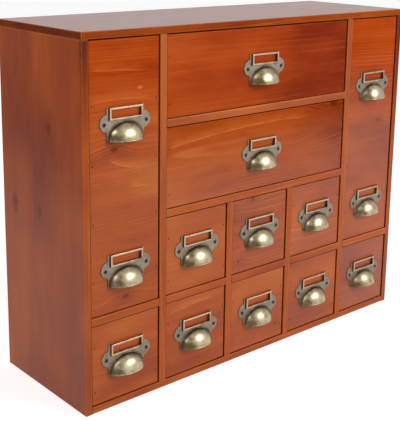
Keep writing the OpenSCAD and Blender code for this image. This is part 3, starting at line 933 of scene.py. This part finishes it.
def cup_shell(p, rows=26, columns=44):
    """Cup: an outer and an inner quarter of an ellipsoid, joined along the lower edge and the foot."""
    axes = np.array(cup_axes(p))
    sheets = [cup_sheet(axes, rows, columns), cup_sheet(axes - p.cup_wall, rows, columns)]
    count = rows * columns
    quads = grid_quads(rows, columns)
    rim = np.concatenate([np.arange(columns), np.arange(1, rows) * columns + columns - 1,
                          np.arange(rows - 2, 0, -1) * columns])
    ahead = np.roll(rim, -1)
    band = np.stack([rim, ahead, ahead + count, rim + count], axis=-1)
    faces = quads.tolist() + (quads[:, ::-1] + count).tolist() + band.tolist()
    return np.concatenate([s.reshape(-1, 3) for s in sheets]), faces


def oval_tube(wide, high, reach, r, around=12, steps=56):
    """Circle of radius r carried along an ellipse, square to it, from reach on one side of its top to the
    other. Gives the grids of the distance across, the distance along the ellipse's other axis and the
    rise over its plane."""
    turn = np.linspace(-reach, reach, steps)[:, None]
    a = np.linspace(0, 2 * math.pi, around, endpoint=False)[None, :]
    normal = np.stack([np.sin(turn) / wide, np.cos(turn) / high])
    normal = normal / np.linalg.norm(normal, axis=0)
    across = wide * np.sin(turn) + r * np.cos(a) * normal[0]
    along = high * np.cos(turn) + r * np.cos(a) * normal[1]
    return across, along, np.broadcast_to(r * np.sin(a), across.shape)


def bead_shell(p):
    """Bead round the cup's foot: a circle carried along an arch on the plate."""
    wide, _, high = np.array(cup_axes(p)) + p.bead_gap
    x, z, rise = oval_tube(wide, high, math.pi / 2, p.bead_r)
    return capped_tube(np.stack([x, -p.plate_t - rise, z], axis=-1))


def lip_shell(p):
    """Rolled lip: a circle carried along the cup's lower edge, from the plate on one side to the other."""
    wide, deep, _ = np.array(cup_axes(p)) - p.lip_r / 2
    x, out, rise = oval_tube(wide, deep, math.acos(0.4 * p.plate_t / deep), p.lip_r)
    return capped_tube(np.stack([x, -out, np.maximum(p.lip_r / 2 + rise, 0)], axis=-1))


def clean_shells(points, faces):
    """Merges the doubled points of closed shells and turns their faces outwards."""
    mesh = bpy.data.meshes.new("template")
    mesh.from_pydata(points.tolist(), [], faces)
    work = bmesh.new()
    work.from_mesh(mesh)
    bmesh.ops.remove_doubles(work, verts=work.verts, dist=MERGE_REACH)
    bmesh.ops.dissolve_degenerate(work, edges=work.edges, dist=SLIVER)
    bmesh.ops.recalc_face_normals(work, faces=work.faces)
    work.verts.index_update()
    points = np.array([v.co for v in work.verts])
    faces = [[v.index for v in face.verts] for face in work.faces]
    work.free()
    bpy.data.meshes.remove(mesh)
    return points, faces


def pull_wear_and_highlights(p, points):
    """How bright each point of a pull is rubbed, and how far it is polished brass, both with painted
    highlights on the label frame, the cup and the lip: by its distance from the plate's outline, its place
    on the label frame, and whether it lies on the bead, the cup or the lip."""
    x, y, z = points.T
    wide, deep, high = cup_axes(p)
    edge = np.min(np.linalg.norm(points[:, None, [0, 2]] - plate_outline(p)[None], axis=-1), axis=1)
    wear = 0.45 * np.clip(1 - edge / WORN_EDGE, 0, 1)
    # Label frame, rubbed on its face, with a painted highlight that makes it brighter at its top and on its
    # left
    on_frame = z > p.plate_h - p.rim_h - 0.2 * MM
    stand = on_frame * np.clip((-y - p.card_slot) / (p.rim_proud - p.card_slot), 0, 1)
    lit = np.maximum((z - p.plate_h + p.rim_h / 2) / (p.rim_h / 2), -x / (p.rim_w / 2))
    wear = np.maximum(wear, stand ** 2 * (0.52 + 0.43 * np.clip(lit, 0, 1)))
    # Bead
    bead = np.abs(np.hypot(x / (wide + p.bead_gap), z / (high + p.bead_gap)) - 1) * high < 1.2 * p.bead_r
    wear = np.maximum(wear, 0.40 * bead * np.clip((-y - p.plate_t) / p.bead_r, 0, 1))
    # Crown of the cup, rubbed brass with painted highlights and painted dark reflections, brighter to the
    # right
    across, up = x / wide, z / high
    off_cup = np.abs(np.sqrt(across ** 2 + (y / deep) ** 2 + up ** 2) - 1) * deep
    on_cup = (off_cup < 0.3 * MM) & (y < -p.plate_t)
    crown_and_highlights = 0.50 + 0.10 * across
    for spot_across, spot_up, spread, gain in CROWN_SPOTS_AND_HIGHLIGHTS:
        crown_and_highlights = crown_and_highlights + gain * np.exp(-((across - spot_across) ** 2 + (up - spot_up) ** 2) / spread ** 2)
    polish = on_cup * np.clip((-y - p.plate_t) / (0.3 * deep), 0, 1) * np.clip(crown_and_highlights, 0.2, 1)
    # Lip, with a painted highlight that makes it brighter to the right
    ring = np.abs(np.hypot(across, y / deep) - 1) * deep < 2 * p.lip_r
    lip = ring & (z < 1.6 * p.lip_r) & (y < -2 * p.plate_t)
    wear = np.maximum(wear, lip * (0.42 + 0.22 * across))
    polish = np.maximum(polish, lip * (0.55 + 0.35 * across))
    return wear, polish


def pull_dirt_and_shade(p, g):
    """Darkness in a pull's creases: dark patina with painted shade in a band along the foot of the cup,
    painted shade round the foot of the label frame and on its walls, and a dark ring round the screws, by
    the point's own place on the pull."""
    place = g.add("ShaderNodeAttribute", attribute_name="place").outputs["Vector"]
    x, y, z = g.parts(place)
    rim_foot = p.plate_h - p.rim_h
    # Foot of the cup: dark patina with painted shade
    wide, _, high = np.array(cup_axes(p)) + p.bead_gap
    oval = g.vector("LENGTH", g.vector("MULTIPLY", place, (1 / wide, 0, 1 / high)))
    foot = g.math("ABSOLUTE", g.math("MULTIPLY_ADD", oval, high, -high - 0.4 * p.bead_r))
    on_plate = g.step(y, -4 * p.plate_t, -2.2 * p.plate_t)
    crease_patina_and_shade = g.times(g.fall(foot, 0.2 * MM, 1.5 * MM, 0.85), on_plate)
    # Foot and walls of the label frame: painted shade
    aside = g.math("ABSOLUTE", x)
    beyond = g.math("ABSOLUTE", g.most(g.minus(aside, p.rim_w / 2), g.minus(rim_foot, z)))
    flat = g.step(y, -1.35 * p.plate_t, -1.1 * p.plate_t)
    shade = g.times(g.fall(beyond, 0.0, 1.5 * MM, 0.9), flat)
    wall_shade = g.times(g.step(y, -p.rim_proud + 0.15 * MM, -p.rim_proud + 0.6 * MM),
                    g.step(y, -1.2 * p.plate_t, -1.5 * p.plate_t),
                    g.step(z, rim_foot - 0.6 * MM, rim_foot - 0.3 * MM))
    # Round the screws
    from_screw = {"X": g.minus(aside, p.screw_spacing / 2), "Z": g.minus(z, p.screw_rise)}
    away = g.add("ShaderNodeCombineXYZ", from_screw).outputs["Vector"]
    ring = g.fall(g.vector("LENGTH", away), p.screw_head_r, p.screw_head_r + 1.3 * MM, 0.75)
    return g.most(crease_patina_and_shade, shade, wall_shade, ring)


def brass_material(p):
    """Antique brass: grey bronze plates, dark patina and painted shade in the creases, brass cups with
    painted highlights and painted dark reflections, edges rubbed to copper with painted highlights on the
    label frame and the lip.
    """
    material, g, shader, place = new_material("antique_brass")
    wear = g.add("ShaderNodeAttribute", attribute_name="wear").outputs["Fac"]
    polish = g.add("ShaderNodeAttribute", attribute_name="polish").outputs["Fac"]
    cloud = g.noise(place["Object"], (150, 150, 150), 3.0, 0.55)
    speck = g.noise(place["Object"], (1400, 1400, 1400), 2.0, 0.6)
    grain = g.plus(g.times(cloud, 0.70), g.times(speck, 0.30))
    uneven = g.about_zero(cloud, 0.9)
    on_cup = g.step(polish, 0.0, 0.2)
    # Polished brass on the cup, with the crown's painted highlights and painted dark reflections
    brass = g.times(g.step(g.plus(polish, uneven), 0.05, 1.00), on_cup)
    # Painted shade and dark patina in the creases
    dirt_and_shade = g.times(pull_dirt_and_shade(p, g), g.step(grain, 0.20, 0.62, 0.95, 0.55))
    # Rubbed edges, with painted highlights on the label frame and the lip
    rubbed_and_highlit = g.step(g.plus(wear, g.times(uneven, 1.5)), 0.34, 0.92)
    colour = g.mix(g.step(grain, 0.30, 0.66), p.patina, p.bronze)
    for share, layer in ((on_cup, p.umber), (brass, p.brass), (dirt_and_shade, p.grime_and_shade), (rubbed_and_highlit, p.copper)):
        colour = g.mix(share, colour, layer)
    rough = g.plus(g.step(g.most(brass, rubbed_and_highlit), 0.0, 1.0, 0.40, 0.32), g.about_zero(speck, 0.12))
    rough = g.math("MULTIPLY_ADD", dirt_and_shade, 0.2, rough)
    g.fill(shader, {"Base Color": colour, "Roughness": rough, "Metallic": 1.0})
    add_bump(g, shader, grain, 0.22, 0.12 * MM)
    return material


def steel_material(p):
    """Dark steel of screws and nails, with brown stain and worn specks."""
    material, g, shader, place = new_material("dark_steel")
    speck = g.noise(place["Object"], (1100, 1100, 1100), 3.0, 0.6)
    colour = g.mix(g.step(speck, 0.35, 0.65), p.steel_stain, p.steel)
    g.fill(shader, {"Base Color": colour, "Roughness": g.step(speck, 0.3, 0.7, 0.62, 0.42),
                    "Metallic": 0.6, "Specular IOR Level": 0.2})
    add_bump(g, shader, speck, 0.3, 0.1 * MM)
    return material


def new_piece(name, points, faces, material, attributes):
    """Mesh object at the origin, smooth but for its sharp edges."""
    mesh = bpy.data.meshes.new(name)
    mesh.from_pydata(points.tolist(), [], faces)
    mesh.polygons.foreach_set("use_smooth", np.ones(len(mesh.polygons), bool))
    mesh.set_sharp_from_angle(angle=SHARP_ANGLE)
    for key, values in attributes.items():
        kind, field = ("FLOAT_VECTOR", "vector") if values.ndim > 1 else ("FLOAT", "value")
        mesh.attributes.new(key, kind, "POINT").data.foreach_set(field, values.astype(np.float32).ravel())
    mesh.materials.append(material)
    piece = bpy.data.objects.new(name, mesh)
    bpy.context.scene.collection.objects.link(piece)
    even = piece.modifiers.new("even_normals", "WEIGHTED_NORMAL")
    even.keep_sharp = True
    return piece


def pull_places(p, drawer):
    """Origins of a drawer's pulls: the middle of the plate's lower edge, on the wood."""
    lo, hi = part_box(PULL_NODES[drawer])
    low = Vector(((lo.x + hi.x) / 2, hi.y, lo.z))
    if drawer not in TALL_DRAWERS:
        return [low]
    return [low, Vector((low.x, low.y, hi.z - p.plate_h))]


def copies(points, faces, places):
    """Several copies of a shell, one at each place."""
    shifts = np.array([tuple(v) for v in places])
    moved = (points[None] + shifts[:, None]).reshape(-1, 3)
    return moved, [[v + k * len(points) for v in face] for k in range(len(shifts)) for face in faces]


class ORGANIZER_OT_cup_pulls(bpy.types.Operator):
    """Build the cup pulls with their label frames"""

    bl_idname = "organizer.cup_pulls"
    bl_label = "Cup pulls"

    def execute(self, context):
        p = context.scene.organizer_pull
        shells = [plate_shell(p), rim_shell(p), rim_legs(p), cup_shell(p), bead_shell(p), lip_shell(p)]
        points, faces = clean_shells(*joined(shells))
        wear, polish = pull_wear_and_highlights(p, points)
        material = brass_material(p)
        for drawer in DRAWERS:
            places = pull_places(p, drawer)
            fields = {"wear": np.tile(wear, len(places)), "polish": np.tile(polish, len(places)),
                      "place": np.tile(points, (len(places), 1))}
            piece = new_piece(drawer + "_cup_pull", *copies(points, faces, places), material, fields)
            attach(piece, drawer + BODY_TAIL)
            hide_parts(PULL_NODES[drawer])
        return {"FINISHED"}


class ORGANIZER_OT_fasteners(bpy.types.Operator):
    """Finish the screws and nails"""

    bl_idname = "organizer.fasteners"
    bl_label = "Screws and nails"

    def execute(self, context):
        material = steel_material(context.scene.organizer_pull)
        for drawer in DRAWERS:
            finish_node(drawer + "_fasteners", material)
        return {"FINISHED"}


def add_softbox(name, power, size, place, target):
    """A square area lamp at a place, facing a target."""
    lamp = bpy.data.lights.new(name, "AREA")
    lamp.energy = power
    lamp.size = size
    obj = bpy.data.objects.new(name, lamp)
    bpy.context.scene.collection.objects.link(obj)
    obj.location = place
    obj.rotation_euler = (Vector(target) - Vector(place)).to_track_quat("-Z", "Y").to_euler()


def camera_matrix(s):
    """Camera frame from its place, yaw, downward pitch and roll."""
    right = Vector((math.cos(s.camera_yaw), math.sin(s.camera_yaw), 0))
    level = Vector((-math.sin(s.camera_yaw), math.cos(s.camera_yaw), 0))
    ahead = level * math.cos(s.camera_pitch) - Vector((0, 0, math.sin(s.camera_pitch)))
    up = Vector((0, 0, math.cos(s.camera_pitch))) + level * math.sin(s.camera_pitch)
    c, r = math.cos(s.camera_roll), math.sin(s.camera_roll)
    turned = Matrix((right * c + up * r, up * c - right * r, -ahead)).transposed()
    return Matrix.Translation(s.camera_place) @ turned.to_4x4()


def shown_ray(g):
    """1 for rays that show a surface to the camera, in a reflection or through glass, and 0 for the rest."""
    light = g.add("ShaderNodeLightPath").outputs
    return g.most(light["Is Camera Ray"], light["Is Glossy Ray"], light["Is Transmission Ray"])


class ORGANIZER_OT_stage(bpy.types.Operator):
    """Set the camera, the lamps, the floor and the white surroundings"""

    bl_idname = "organizer.stage"
    bl_label = "Stage"

    def execute(self, context):
        scene = context.scene
        s = scene.organizer_stage
        self.set_camera(scene, s)
        add_softbox("key_softbox", s.key_power, s.key_size, s.key_place, s.lamp_target)
        add_softbox("side_softbox", s.side_power, s.side_size, s.side_place, s.lamp_target)
        self.set_floor(scene, s)
        self.set_world(scene, s)
        scene.view_settings.view_transform = "Standard"
        return {"FINISHED"}

    def set_camera(self, scene, s):
        data = bpy.data.cameras.new("camera")
        data.sensor_width = SENSOR_W
        data.lens = s.focal_pixels * SENSOR_W / PICTURE_H
        data.shift_y = (s.centre_row - PICTURE_H / 2) / PICTURE_H
        data.clip_start, data.clip_end = 0.01, 50
        camera = bpy.data.objects.new("camera", data)
        scene.collection.objects.link(camera)
        camera.matrix_world = camera_matrix(s)
        scene.camera = camera

    def set_floor(self, scene, s):
        mesh = bpy.data.meshes.new("floor")
        signs = ((-1, -1), (1, -1), (1, 1), (-1, 1))
        corners = [(x * FLOOR_REACH, y * FLOOR_REACH, -FLOOR_DROP) for x, y in signs]
        mesh.from_pydata(corners, [], [(0, 1, 2, 3)])
        floor = bpy.data.objects.new("floor", mesh)
        scene.collection.objects.link(floor)
        material, g, shader, _ = new_material("pale_floor")
        g.fill(shader, {"Base Color": s.floor_colour, "Roughness": 0.8})
        strength = g.times(shown_ray(g), s.floor_glow)
        glow = g.add("ShaderNodeEmission", {"Color": (1, 1, 1), "Strength": strength})
        both = g.add("ShaderNodeAddShader", {0: shader.outputs["BSDF"], 1: glow.outputs["Emission"]})
        out = next(n for n in g.tree.nodes if n.type == "OUTPUT_MATERIAL")
        g.set(out.inputs["Surface"], both.outputs["Shader"])
        mesh.materials.append(material)

    def set_world(self, scene, s):
        world = bpy.data.worlds.new("white_surroundings")
        world.use_nodes = True
        world.node_tree.nodes.clear()
        g = Graph(world.node_tree)
        strength = g.step(shown_ray(g), 0.0, 1.0, s.ambient, 1.0)
        back = g.add("ShaderNodeBackground", {"Color": (1, 1, 1), "Strength": strength})
        g.add("ShaderNodeOutputWorld", {"Surface": back.outputs["Background"]})
        scene.world = world


OPERATORS = (
    ORGANIZER_OT_case_boards,
    ORGANIZER_OT_back_panel,
    ORGANIZER_OT_drawer_fronts,
    ORGANIZER_OT_drawer_trays,
    ORGANIZER_OT_cup_pulls,
    ORGANIZER_OT_fasteners,
    ORGANIZER_OT_stage,
)
SETTINGS = {
    "organizer_wood": OrganizerWood,
    "organizer_pull": OrganizerPull,
    "organizer_stage": OrganizerStage,
}


class VIEW3D_PT_organizer(bpy.types.Panel):
    """Lists the pieces of the organizer"""

    bl_label = "Drawer organizer"
    bl_space_type = "VIEW_3D"
    bl_region_type = "UI"
    bl_category = "Organizer"

    def draw(self, context):
        for operator in OPERATORS:
            self.layout.operator(operator.bl_idname)
        for group, kind in SETTINGS.items():
            box = self.layout.box()
            for name in kind.__annotations__:
                box.prop(getattr(context.scene, group), name)


CLASSES = (*SETTINGS.values(), *OPERATORS, VIEW3D_PT_organizer)


def register():
    for kind in CLASSES:
        bpy.utils.register_class(kind)
    for name, kind in SETTINGS.items():
        setattr(bpy.types.Scene, name, PointerProperty(type=kind))


def unregister():
    for name in SETTINGS:
        delattr(bpy.types.Scene, name)
    for kind in reversed(CLASSES):
        bpy.utils.unregister_class(kind)


def main():
    register()
    bpy.ops.organizer.case_boards()
    bpy.ops.organizer.back_panel()
    bpy.ops.organizer.drawer_fronts()
    bpy.ops.organizer.drawer_trays()
    bpy.ops.organizer.cup_pulls()
    bpy.ops.organizer.fasteners()
    bpy.ops.organizer.stage()


if __name__ == "__main__":
    main()
